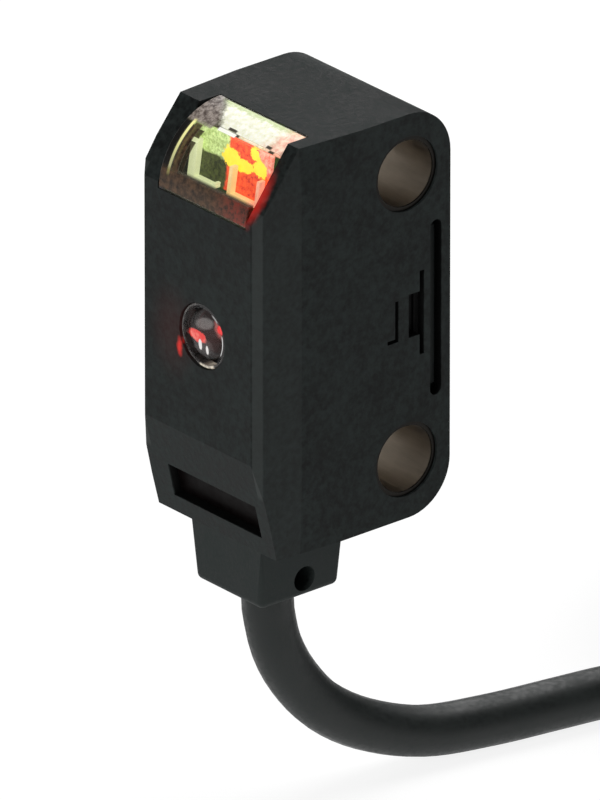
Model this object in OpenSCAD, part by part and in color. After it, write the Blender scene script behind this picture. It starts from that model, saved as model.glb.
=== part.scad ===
// Ultra-compact photoelectric sensor with a built-in amplifier, sensing to the front.
// X is the width, -Y the sensing face and +Z up, in millimetres.
// The origin is halfway between the two mounting holes, on the middle of the width.

/* [Body] */
// Overall width of the housing
body_w = 8.7; // [8.6:0.05:9]
// Overall depth from the sensing face to the back
body_d = 11.1; // [11:0.05:11.5]
// Overall height of the housing
body_h = 19.8; // [19.7:0.05:20.2]
// Thickness of the housing wall
wall = 0.8; // [0.7:0.05:0.85]
// Radius of the two rounded back corners
back_corner_r = 2.4; // [1.8:0.1:2.5]

/* [Front shape] */
// Depth that the upper front chamfer takes
top_chamfer_d = 2.45; // [2.3:0.05:2.6]
// Height that the upper front chamfer takes
top_chamfer_h = 3.2; // [3:0.05:3.4]
// Depth that the lower front chamfer takes
low_chamfer_d = 1.15; // [1.05:0.05:1.25]
// Height that the lower front chamfer takes
low_chamfer_h = 4.85; // [4.7:0.05:5]
// Size of the bevel down each front corner
corner_bevel = 0.42; // [0.35:0.01:0.5]
// How far each side leans in towards the front
side_taper = 0.24; // [0.18:0.01:0.3]
// Depth of the leaning part of each side
side_taper_d = 2.45; // [2.2:0.05:2.7]

/* [Mounting] */
// Distance between the two mounting holes
hole_pitch = 14; // [13.9:0.1:14.2]
// Clear diameter of a mounting sleeve, for an M3 screw
hole_d = 3.2; // [3.1:0.05:3.3]
// Wall of the metal sleeve
sleeve_wall = 0.2; // [0.15:0.05:0.25]
// Distance from the back to the mounting holes
hole_from_back = 2.55; // [2.5:0.05:2.6]

/* [Optics] */
// How far the optics sit off the middle of the width
optics_x = 0.3; // [0.2:0.05:0.3]
// Height of the emitter axis
emitter_z = 0.15; // [0:0.05:0.3]
// Clear diameter of the emitter lens
lens_d = 3.15; // [3:0.05:3.2]
// Width of the indicator window
window_w = 6.1; // [6:0.05:6.1]
// Radius of the curved indicator window
window_r = 3.65; // [3.6:0.05:3.65]
// Width of the receiver slot
slot_w = 6.1; // [6:0.05:6.15]
// Height of the receiver slot
slot_h = 1.7; // [1.6:0.05:1.75]

/* [Controls] */
// Distance of each control from the middle of the back
control_z = 2.4; // [2.35:0.05:2.45]
// Diameter of a control's turning head
knob_d = 1.9; // [1.8:0.05:1.9]

/* [Cable] */
// Outer diameter of the cable
cable_d = 2.4; // [2.3:0.05:2.45]
// Outer diameter of one core
core_d = 0.85; // [0.8:0.05:0.9]
// Height of the wound hank
hank_h = 12; // [11:0.5:12]

/* [Hidden] */
$fn = 48;
e = 0.02;

// Planes of the body
y_back = hole_from_back;
y_front = y_back - body_d;
z_top = body_h / 2;
z_bottom = -body_h / 2;
z_up = z_top - top_chamfer_h;
z_low = z_bottom + low_chamfer_h;
bevel_y = y_front + corner_bevel;
flat_side_y = bevel_y + side_taper_d;
half_w = body_w / 2;
bevel_half_w = half_w - side_taper;
front_half_w = bevel_half_w - corner_bevel;
up_angle = atan2(top_chamfer_d, top_chamfer_h);
low_angle = atan2(low_chamfer_d, low_chamfer_h);

// Where the flat of each side meets the top and the bottom, and where it turns down to them
flat_top_y = flat_side_y + 3;
flat_low_y = flat_side_y + 1.8;
flat_top_z = z_top - 2.3;
flat_low_z = z_bottom + 3.2;

// Inside of the housing
cavity_half_w = 3.4;
boss_front_y = -2.5;
opening_half_h = 4.45;
floor_z = z_bottom + wall;

// Rear cover and the recess that it sits in
recess_y = 1.4;
recess_half_w = 3.75;
recess_half_h = 4.75;
gasket_t = 0.2;
cover_y = recess_y + gasket_t;
cover_gap = 0.05;
bore_gap = 0.05;
seal_r = 1.35;
seal_t = 0.36;

// Latch slots in the two sides
latch_y = 1.38;
latch_w = 0.66;
latch_half_h = 4.3;

// Main board and its parts
board_front_y = -2;
board_t = 0.6;
board_back_y = board_front_y + board_t;
board_half_w = 3.25;
board_half_h = 4.25;
flex_t = 0.15;
flex_y = -2.09;
flex_half_w = 1.5;
low_flex_x = 1.9;
low_flex_w = 1.2;
chip_half_w = 1.2;
chip_half_h = 0.85;
chip_t = 0.6;
control_w = 2.8;
control_top_y = 0.5;
stem_r = 0.6;
stem_end_y = -0.6;
knob_end_y = 2.35;

// Emitter, along Y
lens_face_y = y_front + 0.1;
lens_flange_y = y_front + wall;
barrel_y = lens_flange_y + 0.4;
barrel_r = 2;
barrel_bore_r = 1.45;
emitter_led_half = 0.8;
emitter_led_t = 0.5;
emitter_dome_r = 0.45;

// Levels along the inward normal of the upper chamfer, from its surface
guide_front = -0.75;
guide_back = -2.3;
small_board_t = 0.4;
up_board_front = -2.35;
window_t = 0.6;
window_arc_y = y_front + window_r;
window_arc_z = z_top - window_r;
window_low_angle = 178;
guide_wall = 0.3;
guide_h = 3.1;
guide_w = 1.9;
guide_low_x = optics_x - 2.4;
guide_high_x = optics_x + 0.5;
guide_low_up = -guide_h / 2 - 0.15;
guide_web_t = 0.5;
led_spread = 1.45;
led_w = 1;
led_t = 0.6;
led_h = 0.6;

// Levels along the inward normal of the lower chamfer, from its surface
slot_up = -0.69;
filter_face = -0.45;
filter_back = -1.15;
filter_base_h = 2.3;
low_lens_half_l = 2.7;
low_lens_front = -1.25;
low_lens_back = -2.45;
low_lens_r = 1.2;
low_board_front = -3.9;
photodiode_t = 0.5;

// Cable gland under the body
gland_y = -4.5;
gland_half_w = 2.45;
gland_half_d = 2.4;
gland_low_z = -13.2;
gland_draft = 0.1;
gland_edge_r = 0.35;
gland_bore_r = cable_d / 2 + 0.05;
cable_start_z = -10.6;
gland_neck_half = 1.7;
flange_t = 0.3;
pin_hole_r = 0.6;
pin_hole_z = -12.3;
wire_r = 0.3;
wire_y = -2.9;
wire_end_z = -3.6;

// The cable leaves the gland, turns to the back and lies on a surface 24 mm below the origin
cable_route = [
    [0, -4.5, -10.6],
    [0, -4.5, -12.2],
    [0, -4.5, -13.8],
    [0, -4.45, -14.6],
    [0.1, -4.05, -16.5],
    [0.25, -3.15, -18.3],
    [0.5, -1.7, -20.05],
    [0.9, 0.4, -21.45],
    [1.45, 3.35, -22.5],
    [2.05, 6.8, -22.8],
    [2.7, 10.25, -22.8],
    [3.1, 12.5, -22.8],
    [3.5, 14, -22.8],
    [4.2, 15.4, -22.7],
    [5.1, 16.7, -22.5],
    [6, 17.7, -22.3]
];
cable_sides = 8;

// The rest of the cable is wound into a hank and tied at its waist
hank_x = 4;
hank_near_y = 32;
hank_straight = 35;
hank_r = 13.2;
hank_low_z = -23.4;
hank_top_z = hank_low_z + hank_h;
waist_pull = 6;
waist_y = hank_near_y + hank_straight / 2;
tie_w = 3;
tie_t = 0.6;
tie_head_half = 1.9;
tie_head_h = 1.6;

// The last of the cable comes up past the tie and lies across the outer turns of the hank
tail_z = hank_top_z + cable_d / 2 + e;
tail_route = [
    [6, 55.6, tail_z],
    [7.2, 57.1, tail_z],
    [8.6, 58.6, tail_z],
    [9.8, 60.1, tail_z],
    [10.6, 61.8, tail_z],
    [11, 63.6, tail_z],
    [11.2, 65.5, tail_z]
];
core_bend_y = 68.5;
core_end_y = 72;
core_spread = 1.7;
core_ring_r = 0.56;
core_bend_share = 0.65;
core_rise = 0.25;
core_lie_z = hank_top_z + core_d / 2 + e;
tip_gap = 0.02;
tip_l = 5;
tip_r = 0.3;

function arc_points(y, z, r, from, to, steps) =
    [for (i = [0:steps]) let(a = from + (to - from) * i / steps) [y + r * cos(a), z + r * sin(a)]];

// Outline of the hollow, one wall inside the front, top and bottom
function cavity_outline() = [
    [y_front + wall, z_low + wall * tan(low_angle / 2)],
    [y_front + wall, z_up - wall * tan(up_angle / 2)],
    [y_front + top_chamfer_d + wall * (1 - sin(up_angle)) / cos(up_angle), z_top - wall],
    [boss_front_y, z_top - wall],
    [boss_front_y, opening_half_h],
    [y_back + 1, opening_half_h],
    [y_back + 1, -opening_half_h],
    [boss_front_y, -opening_half_h],
    [boss_front_y, floor_z],
    [y_front + low_chamfer_d + wall * (1 - sin(low_angle)) / cos(low_angle), floor_z]
];

// Half width of the hank at a distance along it, pulled in at the tie
function hank_half(y) = hank_r - waist_pull * (1 + cos(360 * (y - waist_y) / hank_straight)) / 2;

function hank_side(side, steps) =
    [for (i = [0:steps]) let(y = hank_near_y + hank_straight * i / steps) [hank_x + side * hank_half(y), y]];

function hank_outline() = concat(
    hank_side(1, 20),
    [for (i = [1:15]) [hank_x + hank_r * cos(12 * i), hank_near_y + hank_straight + hank_r * sin(12 * i)]],
    [for (p = [20:-1:0]) hank_side(-1, 20)[p]],
    [for (i = [1:14]) [hank_x + hank_r * cos(180 + 12 * i), hank_near_y + hank_r * sin(180 + 12 * i)]]);

function unit(v) = v / norm(v);

// Direction of a route at one of its points
function heading(route, i) = unit(route[min(i + 1, len(route) - 1)] - route[max(i - 1, 0)]);

// One ring of a tube, square to the route
function ring_at(route, i, r, sides) =
    let(t = heading(route, i), u = unit(cross(t, [1, 0, 0])), v = cross(t, u))
    [for (k = [0:sides - 1]) route[i] + r * (u * cos(360 * k / sides) + v * sin(360 * k / sides))];

function tube_points(route, r, sides) =
    [for (i = [0:len(route) - 1]) each ring_at(route, i, r, sides)];

function tube_faces(rings, sides) = concat(
    [[for (k = [0:sides - 1]) k]],
    [for (i = [0:rings - 2], k = [0:sides - 1])
        [i * sides + (k + 1) % sides, i * sides + k, (i + 1) * sides + k, (i + 1) * sides + (k + 1) % sides]],
    [[for (k = [sides - 1:-1:0]) (rings - 1) * sides + k]]);

// A flat outline in Y and Z, made into a solid across the width
module across(from_x, to_x) {
    translate([from_x, 0, 0]) rotate([90, 0, 90]) linear_extrude(to_x - from_x) children();
}

// A box given by its lowest and highest corners
module block(low, high) {
    translate(low) cube(high - low);
}

// A round bar along Y
module bar_y(x, z, r, from_y, to_y) {
    translate([x, to_y, z]) rotate([90, 0, 0]) cylinder(r = r, h = to_y - from_y);
}

// A round bar along X
module bar_x(y, z, r, from_x, to_x) {
    translate([from_x, y, z]) rotate([0, 90, 0]) cylinder(r = r, h = to_x - from_x);
}

// Places a shape on the upper chamfer: X across, Y up the slope, Z out of the surface
module on_upper_chamfer() {
    translate([0, y_front + top_chamfer_d / 2, z_up + top_chamfer_h / 2])
        rotate([90 - up_angle, 0, 0]) children();
}

// Places a shape on the lower chamfer: X across, Y up the slope, Z out of the surface
module on_lower_chamfer() {
    translate([0, y_front + low_chamfer_d / 2, z_low - low_chamfer_h / 2])
        rotate([90 + low_angle, 0, 0]) children();
}

// Side outline of the body, with its two rounded back corners
module side_outline() {
    r = back_corner_r;
    difference() {
        polygon([[y_front, z_low], [y_front, z_up], [y_front + top_chamfer_d, z_top], [y_back, z_top],
            [y_back, z_bottom], [y_front + low_chamfer_d, z_bottom]]);
        for (side = [-1, 1]) {
            translate([y_back - r, side * (z_top - r)]) mirror([0, side < 0 ? 1 : 0]) difference() {
                square(r + 1);
                circle(r);
            }
        }
    }
}

// Plan outline of the body: narrow front face, bevels, leaning sides and flat sides
module plan_outline() {
    polygon([[front_half_w, y_front], [bevel_half_w, bevel_y], [half_w, flat_side_y], [half_w, y_back + 1],
        [-half_w, y_back + 1], [-half_w, flat_side_y], [-bevel_half_w, bevel_y], [-front_half_w, y_front]]);
}

// Takes off the side beyond a slanting line on it, leaning in to meet a point of the chamfer's edge
module lean_cut(start, finish, edge) {
    along = finish - start;
    turn = atan2(along[1], along[0]);
    reach = cross(along, edge - start) / norm(along);
    lean = atan2(side_taper, abs(reach));
    way = reach > 0 ? 1 : -1;
    translate([half_w, start[0], start[1]]) rotate([turn, 0, 0]) rotate([0, -way * lean, 0])
        translate([0, -12, way > 0 ? 0 : -9]) cube([2, 24, 9]);
}

module body_shape() {
    difference() {
        intersection() {
            across(-half_w - 1, half_w + 1) side_outline();
            translate([0, 0, z_bottom - 1]) linear_extrude(body_h + 2) plan_outline();
        }
        for (side = [0, 1]) {
            mirror([side, 0, 0]) {
                lean_cut([flat_side_y, flat_top_z], [flat_top_y, z_top], [y_front + top_chamfer_d, z_top]);
                lean_cut([flat_side_y, flat_low_z], [flat_low_y, z_bottom], [y_front + low_chamfer_d, z_bottom]);
            }
        }
    }
}

// Quarter round between two angles, for the indicator window and its opening
module window_sector(r) {
    polygon(concat([[window_arc_y, window_arc_z]],
        arc_points(window_arc_y, window_arc_z, r, 90, window_low_angle, 22)));
}

module latch_slot(side) {
    x = side > 0 ? recess_half_w - e : -half_w - 1;
    r = latch_w / 2;
    y = latch_y + r;
    block([x, latch_y, r - latch_half_h], [x + 1.6, latch_y + latch_w, latch_half_h - r]);
    for (z = [r - latch_half_h, latch_half_h - r]) {
        bar_x(y, z, r, x, x + 1.6);
    }
}

// Notch, slit and hook line of the latch, sunk into one side
module latch_marks(side) {
    mirror([side > 0 ? 0 : 1, 0, 0]) {
        block([half_w - 0.6, 0.12, -1.06], [half_w + 1, 0.78, 1.06]);
        block([half_w - 0.45, 0.78 - e, -2.05], [half_w + 1, 1.03, 2.05]);
        block([half_w - 0.3, -0.67, -1.08], [half_w + 1, -0.47, 0.93]);
        block([half_w - 0.3, -1.12, -1.08], [half_w + 1, -0.67 + e, -0.9]);
    }
}

module housing() {
    color([0.16, 0.18, 0.18]) difference() {
        body_shape();
        across(-cavity_half_w, cavity_half_w) polygon(cavity_outline());
        // Opening of the indicator window
        across(optics_x - window_w / 2, optics_x + window_w / 2) window_sector(2 * window_r);
        // Bore of the emitter lens
        bar_y(optics_x, emitter_z, lens_d / 2, y_front - 1, y_front + wall + e);
        // Receiver slot
        on_lower_chamfer() translate([optics_x - slot_w / 2, slot_up - slot_h / 2, -1])
            cube([slot_w, slot_h, 2]);
        // Recess of the rear cover
        block([-recess_half_w, recess_y, -recess_half_h], [recess_half_w, y_back + 1, recess_half_h]);
        for (z = [-hole_pitch / 2, hole_pitch / 2]) {
            bar_x(0, z, hole_d / 2 + sleeve_wall, -half_w - 1, half_w + 1);
        }
        for (side = [-1, 1]) {
            latch_slot(side);
            latch_marks(side);
        }
        // Opening for the neck of the cable gland
        block([-gland_neck_half, gland_y - gland_neck_half, z_bottom - 1],
            [gland_neck_half, gland_y + gland_neck_half, floor_z + e]);
    }
}

module control_bores(z) {
    bar_y(0, z, knob_d / 2 + bore_gap, cover_y - 1, y_back + 1);
    bar_y(0, z, seal_r, cover_y - 1, cover_y + seal_t);
    // Dished ring around the head
    bar_y(0, z, seal_r, y_back - 0.25, y_back + 1);
}

module rear_cover() {
    w = recess_half_w - cover_gap;
    h = recess_half_h - cover_gap;
    color([0.13, 0.14, 0.14]) difference() {
        union() {
            block([-w, cover_y, -h], [w, y_back, h]);
            for (side = [-1, 1]) {
                mirror([side > 0 ? 0 : 1, 0, 0])
                    block([w - e, cover_y, -latch_half_h + 0.4],
                        [w + 0.25, latch_y + latch_w - 0.06, latch_half_h - 0.4]);
            }
        }
        for (z = [-control_z, control_z]) {
            control_bores(z);
        }
        // Pointer marks beside the controls
        for (z = [-control_z, control_z], side = [-1, 1]) {
            block([side * 2 - 0.3, y_back - 0.15, z - 0.1], [side * 2 + 0.3, y_back + 1, z + 0.1]);
        }
    }
}

module rear_gasket() {
    w = recess_half_w - cover_gap;
    h = recess_half_h - cover_gap;
    color([0.08, 0.08, 0.09]) difference() {
        block([-w, recess_y, -h], [w, cover_y, h]);
        block([-cavity_half_w, recess_y - 1, -opening_half_h], [cavity_half_w, cover_y + 1, opening_half_h]);
    }
}

module indicator_window() {
    low_x = optics_x - window_w / 2;
    high_x = optics_x + window_w / 2;
    color([0.85, 0.9, 0.8, 0.5]) {
        difference() {
            across(low_x, high_x) window_sector(window_r);
            across(low_x - 1, high_x + 1) polygon([[window_arc_y - 3, window_arc_z - 1],
                [window_arc_y + 1, window_arc_z - 1], [window_arc_y + 1, window_arc_z + 3],
                [window_arc_y - 0.6, z_top - 0.7], [y_front + 0.7, window_arc_z + 0.6]]);
            across(low_x + window_t, high_x - window_t)
                translate([window_arc_y, window_arc_z]) circle(window_r - window_t);
        }
    }
}

module light_guide() {
    color([0.93, 0.95, 0.85]) on_upper_chamfer() difference() {
        union() {
            for (x = [guide_low_x, guide_high_x]) {
                translate([x, guide_low_up, guide_back]) cube([guide_w, guide_h, guide_front - guide_back]);
            }
            translate([optics_x - 1, guide_low_up, guide_back]) cube([2, guide_h, guide_web_t]);
        }
        for (x = [guide_low_x, guide_high_x]) {
            translate([x + guide_wall, guide_low_up + guide_wall, guide_back - 1])
                cube([guide_w - 2 * guide_wall, guide_h - 2 * guide_wall, 4]);
        }
    }
}

module indicator_led(x) {
    on_upper_chamfer() {
        translate([x - led_w / 2, -led_h / 2, up_board_front]) cube([led_w, led_h, led_t]);
    }
}

module operation_led() {
    color([1, 0.55, 0.1]) indicator_led(optics_x + led_spread);
}

module stability_led() {
    color([0.4, 0.9, 0.3]) indicator_led(optics_x - led_spread);
}

module indicator_board() {
    color([0.1, 0.35, 0.2]) on_upper_chamfer()
        translate([optics_x - 2.6, -1.9, up_board_front - small_board_t]) cube([5.2, 3.8, small_board_t]);
}

module emitter_lens() {
    r = lens_d / 2;
    color([0.9, 0.9, 0.92, 0.5]) translate([optics_x, 0, emitter_z]) rotate([90, 0, 0])
        rotate_extrude() polygon(concat(
            [[0, -barrel_y - 0.6], [0.5, -barrel_y - 0.55], [1, -barrel_y - 0.35], [1.35, -barrel_y]],
            [[r + 0.3, -barrel_y], [r + 0.3, -lens_flange_y], [r, -lens_flange_y]],
            [[r, -lens_face_y - 0.1], [r - 0.12, -lens_face_y], [0, -lens_face_y]]));
}

module emitter_barrel() {
    color([0.1, 0.1, 0.11]) difference() {
        bar_y(optics_x, emitter_z, barrel_r, barrel_y, board_front_y);
        bar_y(optics_x, emitter_z, barrel_bore_r, barrel_y - 1, board_front_y + 1);
    }
}

module emitter_led() {
    color([0.85, 0.15, 0.12]) {
        block([optics_x - emitter_led_half, board_front_y - emitter_led_t, emitter_z - emitter_led_half],
            [optics_x + emitter_led_half, board_front_y, emitter_z + emitter_led_half]);
        translate([optics_x, board_front_y - emitter_led_t, emitter_z]) sphere(r = emitter_dome_r);
    }
}

module receiver_window() {
    color([0.12, 0.03, 0.03]) on_lower_chamfer() translate([optics_x, slot_up, 0]) {
        translate([-slot_w / 2, -slot_h / 2, -wall - e]) cube([slot_w, slot_h, filter_face + wall + e]);
        translate([-slot_w / 2, -filter_base_h / 2, filter_back])
            cube([slot_w, filter_base_h, -wall - filter_back]);
    }
}

module receiver_lens() {
    color([0.85, 0.88, 0.9, 0.6]) on_lower_chamfer() translate([optics_x, slot_up, 0]) intersection() {
        translate([-low_lens_half_l, 0, low_lens_front - low_lens_r]) rotate([0, 90, 0])
            cylinder(r = low_lens_r, h = 2 * low_lens_half_l);
        translate([-3, -2, low_lens_back + e]) cube([6, 4, 3]);
    }
}

module photodiode() {
    color([0.15, 0.12, 0.16]) on_lower_chamfer()
        translate([optics_x - 1.3, slot_up - 0.9, low_board_front]) cube([2.6, 1.8, photodiode_t]);
}

module receiver_board() {
    color([0.1, 0.35, 0.2]) on_lower_chamfer()
        translate([optics_x - 2.9, -1.85, low_board_front - small_board_t]) cube([5.8, 3.45, small_board_t]);
}

module main_board() {
    color([0.1, 0.35, 0.2]) block([-board_half_w, board_front_y, -board_half_h],
        [board_half_w, board_back_y, board_half_h]);
}

// One straight strip of a flex between two points in Y and Z
module flex_strip(from_x, to_x, a, b) {
    t = 0.15;
    d = unit(b - a);
    n = [-d[1], d[0]] * t / 2;
    across(from_x, to_x) polygon([a + n, a - n, b - n, b + n]);
}

module board_flexes() {
    color([0.75, 0.5, 0.15]) {
        // To the indicator board
        block([-flex_half_w, board_front_y - flex_t, 3.2], [flex_half_w, board_front_y, 4.2]);
        flex_strip(-flex_half_w, flex_half_w, [flex_y, 3.95], [-5.4, 6.1]);
        on_upper_chamfer() translate([-flex_half_w, -1.1, up_board_front - small_board_t - flex_t])
            cube([2 * flex_half_w, 1, flex_t]);
        // To the receiver board
        block([low_flex_x, board_front_y - flex_t, -4.2], [low_flex_x + low_flex_w, board_front_y, -3.2]);
        flex_strip(low_flex_x, low_flex_x + low_flex_w, [flex_y, -3.75], [-3.97, -5.9]);
        on_lower_chamfer() translate([low_flex_x, 0, low_board_front - small_board_t - flex_t])
            cube([low_flex_w, 1, flex_t]);
    }
}

module control_chip() {
    color([0.08, 0.08, 0.09]) block([-chip_half_w, board_back_y, -chip_half_h],
        [chip_half_w, board_back_y + chip_t, chip_half_h]);
}

module board_components() {
    color([0.7, 0.6, 0.45]) for (side = [-1, 1], z = [-3.2, -1.1, 1.1, 3.2]) {
        block([side * 2.4 - 0.4, board_back_y, z - 0.25], [side * 2.4 + 0.4, board_back_y + 0.4, z + 0.25]);
    }
}

module lead_wires() {
    color([0.5, 0.3, 0.15]) for (x = [-1.2, 0, 1.2]) {
        translate([x, wire_y, floor_z + flange_t]) cylinder(r = wire_r, h = wire_end_z - floor_z - flange_t);
        translate([x, wire_y, wire_end_z]) sphere(r = wire_r);
        bar_y(x, wire_end_z, wire_r, wire_y, board_front_y);
    }
}

module mounting_sleeve(z) {
    end_x = half_w - 0.12;
    difference() {
        bar_x(0, z, hole_d / 2 + sleeve_wall, -end_x, end_x);
        bar_x(0, z, hole_d / 2, -end_x - 1, end_x + 1);
    }
}

module mounting_sleeve_top() {
    color([0.55, 0.52, 0.47]) mounting_sleeve(hole_pitch / 2);
}

module mounting_sleeve_bottom() {
    color([0.55, 0.52, 0.47]) mounting_sleeve(-hole_pitch / 2);
}

module control_body(z) {
    difference() {
        block([-control_w / 2, board_back_y, z - control_w / 2],
            [control_w / 2, control_top_y, z + control_w / 2]);
        bar_y(0, z, stem_r + bore_gap, stem_end_y, control_top_y + 1);
    }
}

module knob(z, slot_w, slot_l) {
    difference() {
        union() {
            bar_y(0, z, stem_r, stem_end_y + bore_gap, control_top_y + 0.1);
            bar_y(0, z, knob_d / 2, control_top_y + bore_gap, knob_end_y);
        }
        translate([-slot_l / 2, knob_end_y - 0.45, z - slot_w / 2]) cube([slot_l, 1, slot_w]);
    }
}

module control_seal(z) {
    difference() {
        bar_y(0, z, seal_r, cover_y, cover_y + seal_t);
        bar_y(0, z, knob_d / 2 + bore_gap, cover_y - 1, cover_y + seal_t + 1);
    }
}

module adjuster_body() {
    color([0.1, 0.2, 0.45]) control_body(control_z);
}

module adjuster_knob() {
    color([0.85, 0.85, 0.82]) difference() {
        knob(control_z, 0.32, knob_d + 1);
        // Second arm of the cross slot
        translate([-0.16, knob_end_y - 0.45, control_z]) cube([0.32, 1, 0.7]);
    }
}

module adjuster_seal() {
    color([0.08, 0.08, 0.09]) control_seal(control_z);
}

module mode_switch_body() {
    color([0.12, 0.12, 0.13]) control_body(-control_z);
}

module mode_switch_knob() {
    color([0.9, 0.45, 0.1]) knob(-control_z, 0.36, 1.3);
}

module mode_switch_seal() {
    color([0.08, 0.08, 0.09]) control_seal(-control_z);
}

module cable_gland() {
    top_z = z_bottom;
    r = gland_edge_r;
    color([0.17, 0.18, 0.18]) difference() {
        union() {
            hull() {
                translate([-gland_half_w, gland_y - gland_half_d, top_z - e])
                    cube([2 * gland_half_w, 2 * gland_half_d, e]);
                for (sx = [-1, 1], sy = [-1, 1]) {
                    translate([sx * (gland_half_w - gland_draft - r),
                        gland_y + sy * (gland_half_d - gland_draft - r), gland_low_z + r])
                        sphere(r = r, $fn = 32);
                }
            }
            // Neck through the floor of the housing, and the flange inside
            block([-gland_neck_half, gland_y - gland_neck_half, top_z - 1],
                [gland_neck_half, gland_y + gland_neck_half, floor_z + e]);
            block([-gland_neck_half - 0.4, gland_y - gland_neck_half, floor_z],
                [gland_neck_half + 0.4, gland_y + gland_neck_half, floor_z + flange_t]);
        }
        translate([0, gland_y, gland_low_z - 1]) cylinder(r = gland_bore_r, h = cable_start_z - gland_low_z + 1);
        bar_x(gland_y + 0.2, pin_hole_z, pin_hole_r, -gland_half_w - 1, gland_half_w + 1);
    }
}

module cable_run() {
    color([0.13, 0.14, 0.14]) polyhedron(points = tube_points(cable_route, cable_d / 2, cable_sides),
        faces = tube_faces(len(cable_route), cable_sides), convexity = 6);
}

module cable_hank() {
    color([0.13, 0.14, 0.14]) translate([0, 0, hank_low_z]) linear_extrude(hank_h) polygon(hank_outline());
}

module cable_tail() {
    color([0.13, 0.14, 0.14]) polyhedron(points = tube_points(tail_route, cable_d / 2, cable_sides),
        faces = tube_faces(len(tail_route), cable_sides), convexity = 6);
}

// Band around the waist of the hank, with its lock on the top
module cable_tie() {
    w = hank_half(waist_y);
    mid_z = (hank_low_z + hank_top_z) / 2;
    color([0.9, 0.9, 0.88]) {
        translate([hank_x, waist_y + tie_w / 2, mid_z]) rotate([90, 0, 0]) linear_extrude(tie_w) difference() {
            square([2 * (w + tie_t), hank_h + 2 * tie_t], center = true);
            square([2 * w, hank_h], center = true);
        }
        block([hank_x - 2, waist_y - tie_head_half, hank_top_z + tie_t - e],
            [hank_x + 2, waist_y + tie_head_half, hank_top_z + tie_t + tie_head_h]);
    }
}

// One core from the end of the sheath down to the top of the hank
module core(angle, side) {
    tail_end = tail_route[len(tail_route) - 1];
    start = tail_end + core_ring_r * [cos(angle), 0, sin(angle)];
    bend = [tail_end[0] + side * core_spread * core_bend_share, core_bend_y, core_lie_z + core_rise];
    finish = [tail_end[0] + side * core_spread, core_end_y, core_lie_z];
    polyhedron(points = tube_points([start, bend, finish], core_d / 2, cable_sides),
        faces = tube_faces(3, cable_sides), convexity = 4);
}

module core_brown() {
    color([0.35, 0.2, 0.12]) core(210, -1);
}

module core_blue() {
    color([0.1, 0.25, 0.6]) core(330, 1);
}

module core_black() {
    color([0.06, 0.06, 0.06]) core(90, 0);
}

module core_tips() {
    color([0.75, 0.45, 0.3]) for (side = [-1, 0, 1]) {
        bar_y(tail_route[len(tail_route) - 1][0] + side * core_spread, core_lie_z, tip_r,
            core_end_y + core_d / 4 + tip_gap, core_end_y + tip_l);
    }
}

housing();
rear_cover();
rear_gasket();
indicator_window();
light_guide();
operation_led();
stability_led();
indicator_board();
emitter_lens();
emitter_barrel();
emitter_led();
receiver_window();
receiver_lens();
photodiode();
receiver_board();
main_board();
board_flexes();
control_chip();
board_components();
lead_wires();
mounting_sleeve_top();
mounting_sleeve_bottom();
adjuster_body();
adjuster_knob();
adjuster_seal();
mode_switch_body();
mode_switch_knob();
mode_switch_seal();
cable_gland();
cable_run();
cable_hank();
cable_tail();
cable_tie();
core_brown();
core_blue();
core_black();
core_tips();
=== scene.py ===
"""Looks of an ultra-compact photoelectric sensor: moulded housing, indicator window, lens, cable and hank."""
import math

import bmesh
import bpy
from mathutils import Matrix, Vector
from mathutils.geometry import interpolate_bezier


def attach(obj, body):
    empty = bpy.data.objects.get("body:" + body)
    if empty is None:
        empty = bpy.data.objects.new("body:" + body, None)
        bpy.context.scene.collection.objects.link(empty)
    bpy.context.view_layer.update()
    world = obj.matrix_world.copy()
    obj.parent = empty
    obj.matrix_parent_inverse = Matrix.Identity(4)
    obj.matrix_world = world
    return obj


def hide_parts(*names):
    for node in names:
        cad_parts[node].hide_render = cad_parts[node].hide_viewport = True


bl_info = {
    "name": "Photoelectric sensor looks",
    "version": (1, 0, 0),
    "blender": (4, 5, 0),
    "location": "3D View > Sidebar > Sensor",
    "description": "Builds the finishes, window, lens, cable, hank and stage of a small photoelectric sensor",
    "category": "Object",
}

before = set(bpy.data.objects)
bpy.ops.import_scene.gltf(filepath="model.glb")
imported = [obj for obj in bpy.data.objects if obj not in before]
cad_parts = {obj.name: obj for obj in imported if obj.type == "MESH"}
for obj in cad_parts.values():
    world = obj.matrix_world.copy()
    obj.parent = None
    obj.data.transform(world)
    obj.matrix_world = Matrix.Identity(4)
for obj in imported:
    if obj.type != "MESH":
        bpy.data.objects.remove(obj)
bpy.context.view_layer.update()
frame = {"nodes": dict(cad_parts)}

MM = 0.001
BODY = "sensor"

# The cable, its cores and the line that it takes from the gland, in millimetres
CABLE_D = 2.4
CORE_R = 0.425
CORE_RING_R = 0.56
CORE_FAN_X = 1.7
CABLE_ROUTE = [
    (0, -4.5, -10.6), (0, -4.5, -12.2), (0, -4.5, -13.8), (0, -4.45, -14.6), (0.1, -4.05, -16.5),
    (0.25, -3.15, -18.3), (0.5, -1.7, -20.05), (0.9, 0.4, -21.45), (1.45, 3.35, -22.5),
    (2.05, 6.8, -22.8), (2.7, 10.25, -22.8), (3.1, 12.5, -22.8), (3.5, 14, -22.8),
    (4.2, 15.4, -22.7), (5.1, 16.7, -22.5), (6, 17.7, -22.3),
]
TAIL_ROUTE = [
    (6, 55.6, -10.18), (7.2, 57.1, -10.18), (8.6, 58.6, -10.18), (9.8, 60.1, -10.18),
    (10.6, 61.8, -10.18), (11, 63.6, -10.18), (11.2, 65.5, -10.18),
]

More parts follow.
